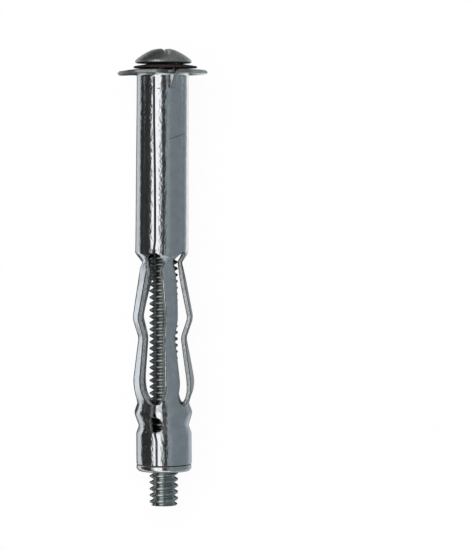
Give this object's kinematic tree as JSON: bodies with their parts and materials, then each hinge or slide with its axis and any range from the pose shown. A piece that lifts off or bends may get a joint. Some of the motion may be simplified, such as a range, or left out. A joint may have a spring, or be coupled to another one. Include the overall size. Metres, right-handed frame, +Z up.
{
  "type": "hollow wall anchor with machine screw",
  "caption": "Expanding sheet-metal anchor for hollow walls: a flanged, slotted sleeve with bent legs, a threaded nut pressed in its end, and a round-head machine screw with a fibre washer.",
  "frame": {"origin": "centre of the flange's wall face, on the axis of the screw", "axes": "+Y along the anchor towards the screw's head, which lies about 2.2 degrees higher than the tip; +Z up; the part lies on a flange notch and on its nut end"},
  "size_m": [0.0148, 0.0755, 0.0142],
  "materials": {
    "screw_steel": "bright zinc plate",
    "fibre": "dark vulcanised fibre",
    "sleeve_steel": "bright zinc plate with a blue tint",
    "nut_steel": "bright zinc plate"
  },
  "bodies": {
    "anchor": {"sleeve": "sleeve_steel", "nut": "nut_steel"},
    "washer": {"fibre_washer": "fibre"},
    "screw": {"screw": "screw_steel"}
  },
  "joints": [
    {"name": "washer_lift", "type": "slide", "parent": "anchor", "child": "washer", "axis": [0, 0.9993, 0.0384], "range_m": [-0.00032, 0.0111]},
    {"name": "screw_turn", "type": "hinge", "parent": "washer", "child": "screw", "pos_m": [0, 0, 0], "axis": [0, 0.9993, 0.0384], "range_deg": [-110, 3780]}
  ],
  "couplings": [
    {"joint": "screw_turn", "follows": "washer_lift", "rad_per_m": 5936.9}
  ]
}
